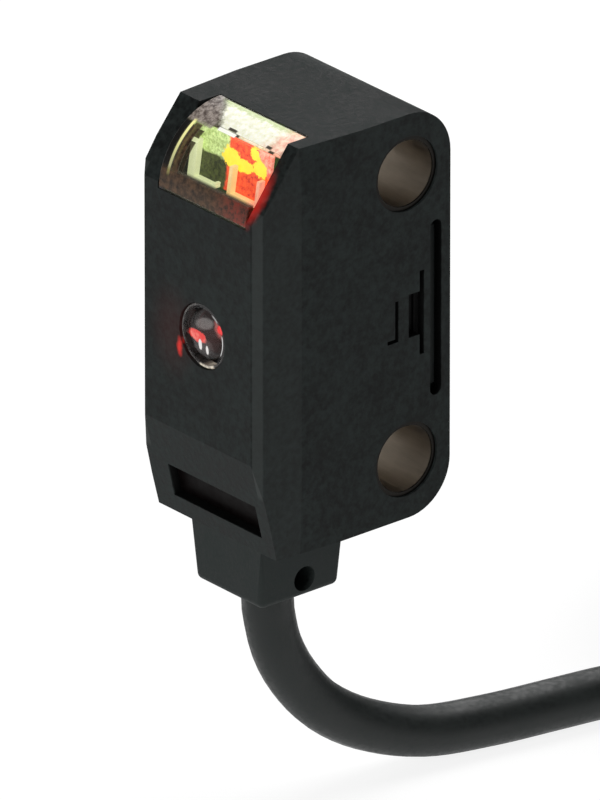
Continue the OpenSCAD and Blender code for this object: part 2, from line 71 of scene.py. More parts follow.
# The hank: its middle, the centre of its near end, its straight length, its layers and its waist
HANK_X = 4
HANK_NEAR_Y = 32
HANK_STRAIGHT = 35
HANK_LOW_Z = -23.4
HANK_TOP_Z = -11.4
HANK_TURNS = 15
HANK_LAYERS = 5
WAIST_Y = 49.5
WAIST_PULL = 6
LANES = (12, 9.6, 7.2)
JOIN_ANGLE = -50
CORE_LIE_Z = HANK_TOP_Z + CORE_R + 0.02

# The indicator window is a quarter round about this line, across the width
WINDOW_Y = -4.9
WINDOW_Z = 6.25
WINDOW_R = 3.65
WINDOW_LOW_X = -2.75
WINDOW_HIGH_X = 3.35

# Optical axis of the emitter, and the flat front of the housing
OPTICS_X = 0.3
EMITTER_Z = 0.15
FRONT_Y = -8.55

# Points closer than this are one point, faces this alike in direction are one plane, and flat faces wider
# than this in square millimetres stay flat when their edges are rounded
JOIN_GAP = 0.001
SAME_PLANE = 0.99999
WIDE_FACE = 3.5

# Corners of each face of a box whose corners run low to high along three directions in turn
BOX_FACES = ((0, 1, 3, 2), (4, 6, 7, 5), (0, 4, 5, 1), (2, 3, 7, 6), (0, 2, 6, 4), (1, 5, 7, 3))


class Field:
    """A shader socket that takes part in arithmetic, adding Math nodes to its finish."""

    def __init__(self, finish, socket):
        self.finish = finish
        self.socket = socket

    def __add__(self, other):
        return self.finish.maths("ADD", self, other)

    __radd__ = __add__

    def __sub__(self, other):
        return self.finish.maths("SUBTRACT", self, other)

    def __rsub__(self, other):
        return self.finish.maths("SUBTRACT", other, self)

    def __mul__(self, other):
        return self.finish.maths("MULTIPLY", self, other)

    __rmul__ = __mul__

    def __truediv__(self, other):
        return self.finish.maths("DIVIDE", self, other)


class Finish:
    """One material: a Principled shader and the nodes that feed it."""

    def __init__(self, name, **constants):
        self.material = bpy.data.materials.new(name)
        self.material.use_nodes = True
        self.tree = self.material.node_tree
        self.shader = self.tree.nodes["Principled BSDF"]
        for socket, value in constants.items():
            self.give(socket.replace("_", " ").title().replace("Ior", "IOR"), value)

    def node(self, kind, settings=None, values=None, output=0):
        made = self.tree.nodes.new(kind)
        for key, value in (settings or {}).items():
            setattr(made, key, value)
        for key, value in (values or {}).items():
            self.feed(made.inputs[key], value)
        return Field(self, made.outputs[output])

    def maths(self, operation, *values):
        return self.node("ShaderNodeMath", {"operation": operation}, dict(enumerate(values)))

    def greatest(self, first, *others):
        for other in others:
            first = self.maths("MAXIMUM", first, other)
        return first

    def feed(self, socket, value):
        if isinstance(value, Field):
            self.tree.links.new(value.socket, socket)
        elif isinstance(value, (tuple, list)) and len(value) == 3 and len(socket.default_value) == 4:
            socket.default_value = (*value, 1)
        else:
            socket.default_value = value

    def give(self, socket, value):
        self.feed(self.shader.inputs[socket], value)

    def emit(self, colour, strength):
        self.give("Emission Color", colour)
        self.give("Emission Strength", strength)

    def place(self):
        """The point in millimetres, as a vector."""
        at = self.node("ShaderNodeTexCoord", output="Object")
        return self.node("ShaderNodeVectorMath", {"operation": "SCALE"}, {"Vector": at, "Scale": 1 / MM})

    def split(self, vector):
        parts = self.tree.nodes.new("ShaderNodeSeparateXYZ")
        self.feed(parts.inputs[0], vector)
        return [Field(self, out) for out in parts.outputs]

    def noise(self, place, scale, detail=3.0, roughness=0.55):
        values = {"Vector": place, "Scale": scale, "Detail": detail, "Roughness": roughness}
        return self.node("ShaderNodeTexNoise", None, values)

    def stretch(self, place, sizes):
        return self.node("ShaderNodeVectorMath", {"operation": "MULTIPLY"}, {0: place, 1: sizes})

    def mix(self, factor, first, second):
        return self.node("ShaderNodeMix", {"data_type": "RGBA"}, {0: factor, 6: first, 7: second}, 2)

    def step(self, value, low, high):
        """0 below low, 1 above high, smooth between."""
        return self.node("ShaderNodeMapRange", {"interpolation_type": "SMOOTHSTEP"},
                         {"Value": value, "From Min": low, "From Max": high})

    def band(self, value, low, high, soft):
        """1 between low and high, 0 outside them, with soft edges."""
        return self.step(value, low - soft, low + soft) * (1 - self.step(value, high - soft, high + soft))

    def away(self, across, up, radius_across, radius_up):
        """Distance from the middle of an ellipse, 1 on its edge."""
        scaled = {0: across / radius_across, 1: 0.0, 2: up / radius_up}
        point = self.node("ShaderNodeCombineXYZ", None, scaled)
        return self.node("ShaderNodeVectorMath", {"operation": "LENGTH"}, {0: point}, "Value")

    def bump(self, height, strength, depth):
        values = {"Strength": strength, "Distance": depth, "Height": height}
        self.give("Normal", self.node("ShaderNodeBump", None, values))


def shade(colour, factor):
    return tuple(channel * factor for channel in colour)


def moulded(name, colour, rough, grain=0.35, specular=0.3, spread=0.25, depth=0.02, **more):
    """A moulded or painted surface: fine grain in colour, gloss and height, over slow patches."""
    finish = Finish(name, specular_ior_level=specular, **more)
    place = finish.place()
    fine = finish.noise(place, 1 / grain, 2.0, 0.6)
    slow = finish.noise(place, 0.45, 2.0)
    both = finish.step(fine * 0.65 + slow * 0.35, 0.3, 0.7)
    finish.give("Base Color", finish.mix(both, shade(colour, 1 - spread), shade(colour, 1 + spread)))
    finish.give("Roughness", both * 0.2 + (rough - 0.1))
    finish.bump(fine, 0.5, depth * MM)
    return finish


def add_object(name, data):
    made = bpy.data.objects.new(name, data)
    bpy.context.scene.collection.objects.link(made)
    return made


def add_box(made, corners):
    """Adds a box to a bmesh from its eight corners in millimetres, in the order that BOX_FACES needs."""
    points = [made.verts.new(Vector(corner) * MM) for corner in corners]
    for face in BOX_FACES:
        made.faces.new([points[k] for k in face])


def finish_mesh(made, mesh):
    """Writes a bmesh to a mesh with its faces turned outwards."""
    bmesh.ops.recalc_face_normals(made, faces=made.faces)
    made.to_mesh(mesh)
    made.free()


def make_mesh(name, vertices, faces, smooth=False):
    mesh = bpy.data.meshes.new(name)
    mesh.from_pydata([Vector(v) * MM for v in vertices], [], faces)
    mesh.validate()
    made = bmesh.new()
    made.from_mesh(mesh)
    finish_mesh(made, mesh)
    if smooth:
        mesh.polygons.foreach_set("use_smooth", [True] * len(mesh.polygons))
    return add_object(name, mesh)


def prism(outline, low_x, high_x):
    """Vertices and faces of an outline of (y, z) points drawn out across the width."""
    count = len(outline)
    vertices = [(x, y, z) for x in (low_x, high_x) for y, z in outline]
    faces = [(k, (k + 1) % count, count + (k + 1) % count, count + k) for k in range(count)]
    faces.append(tuple(range(count)))
    faces.append(tuple(count + k for k in reversed(range(count))))
    return vertices, faces


def turned(name, profile, centre, sides=64):
    """A piece turned about an axis along Y: profile is (radius, y) pairs, and a radius of 0 closes it."""
    centre_x, centre_z = centre
    vertices, faces, rings = [], [], []
    for radius, y in profile:
        if radius == 0:
            rings.append([len(vertices)])
            vertices.append((centre_x, y, centre_z))
        else:
            rings.append(list(range(len(vertices), len(vertices) + sides)))
            for k in range(sides):
                angle = math.tau * k / sides
                x = centre_x + radius * math.cos(angle)
                vertices.append((x, y, centre_z + radius * math.sin(angle)))
    for a, b in zip(rings, rings[1:] + rings[:1]):
        if len(a) == 1 and len(b) == 1:
            continue
        for k in range(sides):
            n = (k + 1) % sides
            if len(a) == 1:
                faces.append((a[0], b[n], b[k]))
            elif len(b) == 1:
                faces.append((a[k], a[n], b[0]))
            else:
                faces.append((a[k], a[n], b[n], b[k]))
    return make_mesh(name, vertices, faces, smooth=True)


def bevel(piece, width, segments=2, angle=30):
    edge = piece.modifiers.new("soft_edges", "BEVEL")
    edge.width = width * MM
    edge.segments = segments
    edge.limit_method = "ANGLE"
    edge.angle_limit = math.radians(angle)
    edge.use_clamp_overlap = True
    return piece


def curved_faces(mesh, widest):
    """For each face, whether it is in no flat region wider than an area in square millimetres."""
    made = bmesh.new()
    made.from_mesh(mesh)
    bmesh.ops.remove_doubles(made, verts=made.verts, dist=JOIN_GAP * MM)
    made.faces.ensure_lookup_table()
    curved = [True] * len(made.faces)
    found = set()
    for first in made.faces:
        if first.index in found:
            continue
        found.add(first.index)
        region, waiting = [], [first]
        while waiting:
            face = waiting.pop()
            region.append(face)
            for edge in face.edges:
                for other in edge.link_faces:
                    if other.index not in found and other.normal.dot(first.normal) > SAME_PLANE:
                        found.add(other.index)
                        waiting.append(other)
        if sum(face.calc_area() for face in region) > widest * MM * MM:
            for face in region:
                curved[face.index] = False
    made.free()
    return curved


def soften(node, width):
    """Rounds the edges of a part that keeps its own shape, with its wide flat faces left flat."""
    piece = frame["nodes"][node]
    mesh = piece.data
    if "custom_normal" in mesh.attributes:
        mesh.attributes.remove(mesh.attributes["custom_normal"])
    smooth = curved_faces(mesh, WIDE_FACE)
    if len(smooth) == len(mesh.polygons):
        mesh.polygons.foreach_set("use_smooth", smooth)
    join = piece.modifiers.new("joined_corners", "WELD")
    join.merge_threshold = JOIN_GAP * MM
    flat = piece.modifiers.new("whole_faces", "DECIMATE")
    flat.decimate_type = "DISSOLVE"
    flat.angle_limit = math.radians(0.6)
    bevel(piece, width)


def paint(piece, finish):
    piece.data.materials.clear()
    piece.data.materials.append(finish.material)


def fit(piece, finish, slot, *nodes):
    """Finishes a new piece and puts it on the sensor in place of CAD nodes."""
    paint(piece, finish)
    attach(piece, BODY)
    if nodes:
        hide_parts(*nodes)
    return piece


def curve_piece(name, lines, radius, resolution=6):
    """A round tube along each line of points in millimetres."""
    data = bpy.data.curves.new(name, "CURVE")
    data.dimensions = "3D"
    data.bevel_depth = radius * MM
    data.bevel_resolution = resolution
    data.use_fill_caps = True
    for line in lines:
        spline = data.splines.new("POLY")
        spline.points.add(len(line) - 1)
        for point, place in zip(spline.points, line):
            point.co = (*(Vector(place) * MM), 1)
        spline.use_smooth = True
    return add_object(name, data)


def smooth_line(points, step):
    """Points about step apart on a smooth curve through the given ones."""
    points = [Vector(p) for p in points]
    padded = [points[0] * 2 - points[1]] + points + [points[-1] * 2 - points[-2]]
    line = [points[0]]
    for before, start, end, after in zip(padded, padded[1:], padded[2:], padded[3:]):
        pull = (end - start).length / 3
        first = start + (end - before).normalized() * pull
        second = end - (after - start).normalized() * pull
        count = max(2, round((end - start).length / step) + 1)
        line += interpolate_bezier(start, first, second, end, count)[1:]
    return line


def ease(way):
    """A smooth start and stop for something that goes from 0 to 1."""
    return way * way * (3 - 2 * way)


def waist_squeeze(y):
    """How far the hank is pulled in on each side at a distance along it."""
    return WAIST_PULL / 2 * (1 + math.cos(math.tau * (y - WAIST_Y) / HANK_STRAIGHT))


def hank_line(turns, step):
    """The wound part of the cable: round the near end, out along +X, round the far end and back along -X."""
    far_y = HANK_NEAR_Y + HANK_STRAIGHT
    stations = []
    for layer in range(HANK_LAYERS):
        lanes = LANES if layer % 2 == 0 else LANES[::-1]
        z = HANK_LOW_Z + CABLE_D / 2 + CABLE_D * layer
        stations += [(radius, z) for radius in lanes]
    line = []
    for turn in range(turns):
        last = turn == turns - 1
        radius, z = stations[turn]
        next_radius, next_z = stations[min(turn + 1, len(stations) - 1)]
        first_angle = JOIN_ANGLE if turn == 0 else -180
        arc_steps = max(8, round(math.radians(abs(first_angle)) * radius / step))
        for i in range(arc_steps):
            angle = math.radians(first_angle * (1 - i / arc_steps))
            x = HANK_X + radius * math.cos(angle)
            line.append((x, HANK_NEAR_Y + radius * math.sin(angle), z))
        side_steps = round(HANK_STRAIGHT / step)
        reach = 0.5 if last else 1
        for i in range(round(side_steps * reach)):
            y = HANK_NEAR_Y + HANK_STRAIGHT * i / side_steps
            line.append((HANK_X + radius - waist_squeeze(y), y, z))
        if last:
            break
        arc_steps = round(math.pi * radius / step)
        for i in range(arc_steps):
            angle = math.pi * i / arc_steps
            line.append((HANK_X + radius * math.cos(angle), far_y + radius * math.sin(angle), z))
        for i in range(side_steps):
            way = i / side_steps
            y = far_y - HANK_STRAIGHT * way
            lane = radius + (next_radius - radius) * ease(max(0, way * 2 - 1))
            height = z + (next_z - z) * ease(min(1, way * 2))
            line.append((HANK_X - lane + waist_squeeze(y), y, height))
    return line


class CableSettings(bpy.types.PropertyGroup):
    diameter: bpy.props.FloatProperty(
        name="Diameter", description="Outer diameter of the cable",
        default=CABLE_D * MM, unit="LENGTH", precision=4)
    length: bpy.props.FloatProperty(
        name="Length", description="Length of the cable from the gland to the end of its sheath",
        default=2.0, unit="LENGTH")
    jacket: bpy.props.FloatVectorProperty(
        name="Jacket", description="Colour of the cable's sheath",
        default=(0.0085, 0.0115, 0.0108), subtype="COLOR")
    tie: bpy.props.FloatVectorProperty(
        name="Tie", description="Colour of the tie round the hank",
        default=(0.72, 0.72, 0.69), subtype="COLOR")


class HousingSettings(bpy.types.PropertyGroup):
    plastic: bpy.props.FloatVectorProperty(
        name="Plastic", description="Colour of the moulded housing",
        default=(0.0115, 0.0148, 0.0142), subtype="COLOR")
    roughness: bpy.props.FloatProperty(
        name="Roughness", description="Roughness of the moulded housing", default=0.62, min=0, max=1)
    edge: bpy.props.FloatProperty(
        name="Edge radius", description="Rounding of the housing's edges",
        default=0.1 * MM, unit="LENGTH", precision=5)
    sleeve: bpy.props.FloatVectorProperty(
        name="Sleeve", description="Colour of the mounting sleeves",
        default=(0.5, 0.46, 0.41), subtype="COLOR")


class OpticsSettings(bpy.types.PropertyGroup):
    glow: bpy.props.FloatProperty(
        name="Glow", description="How brightly the indicators and the emitter shine",
        default=1.0, min=0, max=10)
    beam: bpy.props.FloatVectorProperty(
        name="Beam", description="Colour of the emitter's light", default=(1.0, 0.05, 0.03), subtype="COLOR")


class StageSettings(bpy.types.PropertyGroup):
    floor: bpy.props.FloatVectorProperty(
        name="Floor", description="Colour of the floor", default=(0.2, 0.2, 0.2), subtype="COLOR")
    azimuth: bpy.props.FloatProperty(
        name="Azimuth", description="Direction that the camera looks from, in degrees", default=49.94)
    elevation: bpy.props.FloatProperty(
        name="Elevation", description="Height of the camera above the horizon, in degrees", default=24.55)


class SENSOR_OT_stage(bpy.types.Operator):
    """Sets up the camera, the floor and the studio light"""

    bl_idname = "sensor.stage"
    bl_label = "Stage"

    def execute(self, context):
        settings = context.scene.sensor_stage
        self.camera(context, math.radians(settings.azimuth), math.radians(settings.elevation))
        self.floor(settings)
        self.light(context)
        return {"FINISHED"}

    def camera(self, context, azimuth, elevation):
        """A long lens from far off, aimed at the middle of the housing and the start of the cable."""
        aim = Vector((0.35, -2.87, -4.62)) * MM
        distance = 1.2
        seen_height = 35.85 * MM
        level = math.cos(elevation)
        toward = Vector((math.sin(azimuth) * level, -math.cos(azimuth) * level, math.sin(elevation)))
        data = bpy.data.cameras.new("camera")
        data.sensor_width = 36
        data.lens = data.sensor_width * distance / seen_height
        data.clip_start = 0.05
        camera = add_object("camera", data)
        camera.location = aim + toward * distance
        camera.rotation_mode = "QUATERNION"
        camera.rotation_quaternion = toward.to_track_quat("Z", "Y")
        context.scene.camera = camera

    def floor(self, settings):
        """A bright floor just under the hank."""
        z = HANK_LOW_Z - 0.6
        half = 3000
        corners = [(-half, -half, z), (half, -half, z), (half, half, z), (-half, half, z)]
        floor = make_mesh("floor", corners, [(0, 1, 2, 3)])
        finish = Finish("floor_paint", specular_ior_level=0.1)
        grain = finish.noise(finish.place(), 0.05, 3.0)
        finish.give("Base Color", finish.mix(grain, shade(settings.floor, 0.98), shade(settings.floor, 1.02)))
        finish.give("Roughness", grain * 0.1 + 0.8)
        finish.emit((1, 1, 1), 0.85)
        paint(floor, finish)

    def light(self, context):
        """Soft light from all round, and three square lamps that face the middle of the scene."""
        world = bpy.data.worlds.new("room")
        world.use_nodes = True
        background = world.node_tree.nodes["Background"]
        background.inputs["Color"].default_value = (1, 1, 1, 1)
        background.inputs["Strength"].default_value = 0.2
        context.scene.world = world
        context.scene.view_settings.view_transform = "Standard"
        # Name, place and width in metres, and power in watts
        lamps = [
            ("key", (0.1, -0.5, 0.24), 0.16, 0.7),
            ("back", (-0.4, 0.34, 0.28), 0.25, 0.6),
            ("top", (-0.12, 0.3, 0.6), 0.45, 3.2),
        ]
        for name, place, width, power in lamps:
            light = bpy.data.lights.new(name, "AREA")
            light.size = width
            light.energy = power
            lamp = add_object(name, light)
            lamp.location = place
            lamp.rotation_mode = "QUATERNION"
            lamp.rotation_quaternion = Vector(place).to_track_quat("Z", "Y")


class SENSOR_OT_cable(bpy.types.Operator):
    """Makes the cable with its hank, its tie, the cores and their bare ends"""

    bl_idname = "sensor.cable"
    bl_label = "Cable"

    def execute(self, context):
        settings = context.scene.sensor_cable
        seen_step, hank_step, tail_step = 0.6, 2.0, 1.0
        wound = hank_line(HANK_TURNS, hank_step)
        lead_in = (8.9, 19.9, -22.2)
        rise = [(5.1, 51.2, -12.3), (5, 52.8, -11.6), (5.15, 54.2, -10.65)]
        line = smooth_line(CABLE_ROUTE, seen_step)
        line += smooth_line([CABLE_ROUTE[-1], lead_in] + wound, hank_step)[1:]
        line += smooth_line([wound[-1]] + rise + TAIL_ROUTE, tail_step)[1:]
        cable = curve_piece("cable", [line], settings.diameter / 2 / MM)
        jacket = moulded("cable_jacket", settings.jacket, 0.5, grain=0.22, specular=0.35, depth=0.012)
        fit(cable, jacket, "cable_jacket", "cable_run", "cable_hank", "cable_tail")
        cores = self.cores()
        tips = self.tips()
        tie = self.tie(settings)
        return {"FINISHED"}

    def core_line(self, angle, side):
        """A core's way out of the sheath and down to its place on the hank, left, middle or right."""
        end = Vector(TAIL_ROUTE[-1])
        around = Vector((math.cos(angle), 0, math.sin(angle))) * CORE_RING_R
        line = [end + around - Vector((0, 1.5, 0)), end + around + Vector((0, 0.6, 0))]
        for fan_x, y, lift in ((1.1, 68.5, 0.25), (1.5, 70.4, 0.05), (CORE_FAN_X, 72, 0)):
            line.append(Vector((end.x + side * fan_x, y, CORE_LIE_Z + lift)))
        return line

    def cores(self):
        """Three insulated cores: name, colour, angle in the sheath in degrees, and side."""
        looks = [("core_brown", (0.16, 0.06, 0.02), 210, -1), ("core_blue", (0.02, 0.09, 0.4), 330, 1),
                 ("core_black", (0.015, 0.015, 0.015), 90, 0)]
        made = []
        for name, colour, angle, side in looks:
            line = smooth_line(self.core_line(math.radians(angle), side), 0.4)
            piece = curve_piece(name + "_sheath", [line], CORE_R, 4)
            finish = moulded(name + "_plastic", colour, 0.45, grain=0.15, specular=0.4, depth=0.006)
            made.append(fit(piece, finish, name, name))
        return made

    def tips(self):
        """Each bare end is a twist of fine copper strands, with one in the middle of the others."""
        strand_r, around_r = 0.095, 0.19
        start_y, length, steps = 71.8, 5.1, 24
        twist = 1.1
        outer_strands = 6
        lines = []
        for side in (-1, 0, 1):
            x = TAIL_ROUTE[-1][0] + side * CORE_FAN_X
            for strand in range(outer_strands + 1):
                start = math.tau * strand / outer_strands
                radius = 0 if strand == outer_strands else around_r
                line = []
                for i in range(steps + 1):
                    y = start_y + length * i / steps
                    angle = start + (y - start_y) * twist
                    line.append((x + radius * math.cos(angle), y, CORE_LIE_Z + radius * math.sin(angle)))
                lines.append(line)
        tips = curve_piece("copper_strands", lines, strand_r, 2)
        copper = moulded("bare_copper", (0.75, 0.36, 0.2), 0.3, grain=0.1, depth=0.004, metallic=1.0)
        return fit(tips, copper, "bare_copper", "core_tips")

    def tie(self, settings):
        """A ribbed band with its lock on the top."""
        nylon = moulded("tie_nylon", settings.tie, 0.45, grain=0.4, specular=0.4, spread=0.06, depth=0.008)
        band = self.tie_band()
        lock = self.tie_lock()
        paint(lock, nylon)
        fit(band, nylon, "tie_white", "cable_tie")
        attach(lock, BODY)
        lock.parent = band
        lock.matrix_parent_inverse = band.matrix_world.inverted()
        return band

    def tie_band(self):
        """A strap with rounded corners round the waist, ribbed on its outer face."""
        half_w, half_h, corner_r = 7.2, 6.0, 1.3
        corner_steps = 8
        rib_pitch = 0.22
        mid_z = HANK_LOW_Z + half_h
        path = []
        for side_x, side_z, first in ((1, 1, 0), (-1, 1, 90), (-1, -1, 180), (1, -1, 270)):
            for k in range(corner_steps + 1):
                angle = math.radians(first + 90 * k / corner_steps)
                out_x, out_z = math.cos(angle), math.sin(angle)
                x = HANK_X + side_x * (half_w - corner_r) + corner_r * out_x
                path.append((x, mid_z + side_z * (half_h - corner_r) + corner_r * out_z, out_x, out_z))
        dense = []
        for a, b in zip(path, path[1:] + path[:1]):
            ribs = max(1, round(math.hypot(b[0] - a[0], b[1] - a[1]) / rib_pitch))
            for k in range(ribs):
                dense.append([a[j] + (b[j] - a[j]) * k / ribs for j in range(4)])
        half_band, rib_end, rib_top = 1.5, 1.05, 1.0
        inside, groove, outside = 0.04, 0.46, 0.56
        vertices, faces = [], []
        for i, (x, z, out_x, out_z) in enumerate(dense):
            rib = outside if i % 2 else groove
            half = ((half_band, inside), (half_band, outside), (rib_end, outside), (rib_top, rib))
            profile = [(-y, far) for y, far in half] + list(reversed(half))
            vertices += [(x + out_x * far, WAIST_Y + y, z + out_z * far) for y, far in profile]
        count = len(profile)
        for i in range(len(dense)):
            n = (i + 1) % len(dense)
            for k in range(count):
                m = (k + 1) % count
                faces.append((i * count + k, i * count + m, n * count + m, n * count + k))
        return make_mesh("tie_band", vertices, faces)

    def tie_lock(self):
        """The lock's block with a hollow top, and the end of the strap that comes out of it."""
        block_top, hollow_edge, hollow_depth = 2.2, 0.9, 0.5
        block = ((-2, 2), (-1.9, 1.9), (0.58, block_top))
        strap_end = ((2.0, 3.6), (-1.2, 1.2), (0.9, 1.55))
        made = bmesh.new()
        for across, along, up in (block, strap_end):
            corners = [(x, y, z) for x in across for y in along for z in up]
            add_box(made, [(HANK_X + x, WAIST_Y + y, HANK_TOP_Z + z) for x, y, z in corners])
        top_z = (HANK_TOP_Z + block_top - 0.1) * MM
        top = [face for face in made.faces if face.calc_center_median().z > top_z]
        bmesh.ops.inset_region(made, faces=top, thickness=hollow_edge * MM)
        sunk = list({corner for face in top for corner in face.verts})
        bmesh.ops.translate(made, verts=sunk, vec=(0, 0, -hollow_depth * MM))
        mesh = bpy.data.meshes.new("tie_lock")
        finish_mesh(made, mesh)
        return bevel(add_object("tie_lock", mesh), 0.14)


class SENSOR_OT_housing(bpy.types.Operator):
    """Finishes the housing, the rear cover, the gland and the mounting sleeves"""

    bl_idname = "sensor.housing"
    bl_label = "Housing"

    def execute(self, context):
        settings = context.scene.sensor_housing
        glow = context.scene.sensor_optics.glow
        plastic = moulded("housing_plastic", settings.plastic, settings.roughness, grain=0.3, specular=0.13,
                          spread=0.75, depth=0.03)
        self.paint_light_and_shade(plastic)
        self.spill(plastic, glow)
        paint(frame["nodes"]["housing"], plastic)
        soften("housing", settings.edge / MM)
        cover = moulded("cover_plastic", shade(settings.plastic, 0.85), settings.roughness, grain=0.3,
                        specular=0.22, spread=0.2)
        paint(frame["nodes"]["rear_cover"], cover)
        soften("rear_cover", 0.06)
        rubber = moulded("gland_rubber", (0.0165, 0.0215, 0.0205), 0.66, grain=0.2, specular=0.2, spread=0.2)
        paint(frame["nodes"]["cable_gland"], rubber)
        soften("cable_gland", 0.08)
        gasket = moulded("gasket_rubber", (0.02, 0.02, 0.02), 0.8, grain=0.12, specular=0.15)
        for node in ("rear_gasket", "adjuster_seal", "mode_switch_seal"):
            paint(frame["nodes"][node], gasket)
        steel = self.drawn_metal(settings)
        for node in ("mounting_sleeve_top", "mounting_sleeve_bottom"):
            paint(frame["nodes"][node], steel)
        return {"FINISHED"}

    def paint_light_and_shade(self, plastic):
        """Painted light makes the front corner bevels and the leaning facets behind them lighter, and painted
        shade makes the latch pockets and the receiver slot near black.
        """
        latch_wall_x, latch_low_y, latch_high_y, latch_z = 4.28, -1.14, 2.1, 4.32
        slot_low_x, slot_high_x, slot_low_z, slot_high_z, slot_back_y = -2.77, 3.37, -9.8, -5.2, -6.5
        chamfer_y, chamfer_z, normal_y, normal_z = -7.975, -7.475, 0.973, 0.2307
        corner_x, corner_back_y = 3.7, -8.12
        lean_x, lean_back_y = 4.08, -6.08
        soft = 0.02
        x, y, z = plastic.split(plastic.place())
        side = plastic.maths("ABSOLUTE", x)
        # Painted shade: the latch pockets in the side walls and the receiver slot in the lower chamfer are
        # painted near black
        latch = 1 - plastic.step(side, latch_wall_x, latch_wall_x + 0.05)
        latch = latch * plastic.band(y, latch_low_y, latch_high_y, soft)
        latch = latch * plastic.band(z, -latch_z, latch_z, soft)
        behind = (y - chamfer_y) * normal_y + (z - chamfer_z) * normal_z
        receiver = plastic.step(behind, 0.03, 0.08) * plastic.band(x, slot_low_x, slot_high_x, soft)
        receiver = receiver * plastic.band(z, slot_low_z, slot_high_z, soft)
        receiver = receiver * (1 - plastic.step(y, slot_back_y - 0.1, slot_back_y))
        painted_slot_shade = plastic.greatest(latch, receiver)
        # Painted highlight on the front corner bevels, and fainter painted light on the leaning facets behind
        # them
        corner = plastic.step(side, corner_x, corner_x + 0.06)
        corner = corner * (1 - plastic.step(y, corner_back_y - 0.08, corner_back_y))
        leaning = plastic.step(side, lean_x, lean_x + 0.04)
        leaning = leaning * (1 - plastic.step(y, lean_back_y - 0.04, lean_back_y)) * (1 - corner)
        colour = Field(plastic, plastic.shader.inputs["Base Color"].links[0].from_socket)
        colour = plastic.mix(corner * 0.55, colour, (0.05, 0.056, 0.054))
        colour = plastic.mix(leaning * 0.22, colour, (0.042, 0.048, 0.046))
        plastic.give("Base Color", plastic.mix(painted_slot_shade, colour, (0.002, 0.002, 0.002)))

    def spill(self, plastic, glow):
        """Faint red light that the lens and the window throw on the plastic round them."""
        place = plastic.place()
        x, y, z = plastic.split(place)
        grain = plastic.noise(place, 2.2, 3.0)
        on_front = 1 - plastic.step(y, FRONT_Y + 0.05, FRONT_Y + 0.5)
        beside_lens = plastic.away(x - OPTICS_X + 1.55, z - EMITTER_Z + 1.0, 0.22, 0.5) + (grain - 0.5) * 0.9
        near_lens = (1 - plastic.step(beside_lens, 0.3, 1.15)) * on_front * 0.9
        round_lens = plastic.away(x - OPTICS_X + 2, z - EMITTER_Z + 0.4, 1.8, 2.6)
        halo = (1 - plastic.step(round_lens, 0.1, 1.1)) * on_front
        beside_window = plastic.away(x - WINDOW_HIGH_X - 0.05, z - 7.7, 0.55, 1.3) + (grain - 0.5) * 0.5
        near_window = (1 - plastic.step(beside_window, 0.1, 1.1)) * (1 - plastic.step(y, -6.9, -6.2)) * 0.6
        amount = near_lens + near_window + halo * 0.022
        plastic.emit(plastic.mix(amount, (0, 0, 0), (0.9, 0.03, 0.02)), 0.75 * glow)

    def drawn_metal(self, settings):
        """The sleeves' metal, with fine lines along its length and painted shade at its outer rims."""
        steel = Finish("sleeve_metal", metallic=1.0)
        place = steel.place()
        lines = steel.noise(steel.stretch(place, (0.35, 2.2, 2.2)), 1.6, 4.0, 0.65)
        patches = steel.noise(place, 0.9, 2.0)
        both = lines * 0.65 + patches * 0.35
        x, _, _ = steel.split(place)
        # Painted shade: the sleeve ends at the mouths of the holes are painted near black
        rim = steel.step(steel.maths("ABSOLUTE", x), 4.1, 4.2)
        metal = steel.mix(both, shade(settings.sleeve, 0.55), shade(settings.sleeve, 1.35))
        steel.give("Base Color", steel.mix(rim, metal, shade(settings.sleeve, 0.03)))
        steel.give("Roughness", lines * 0.25 + 0.22)
        steel.bump(lines, 0.4, 0.012 * MM)
        return steel


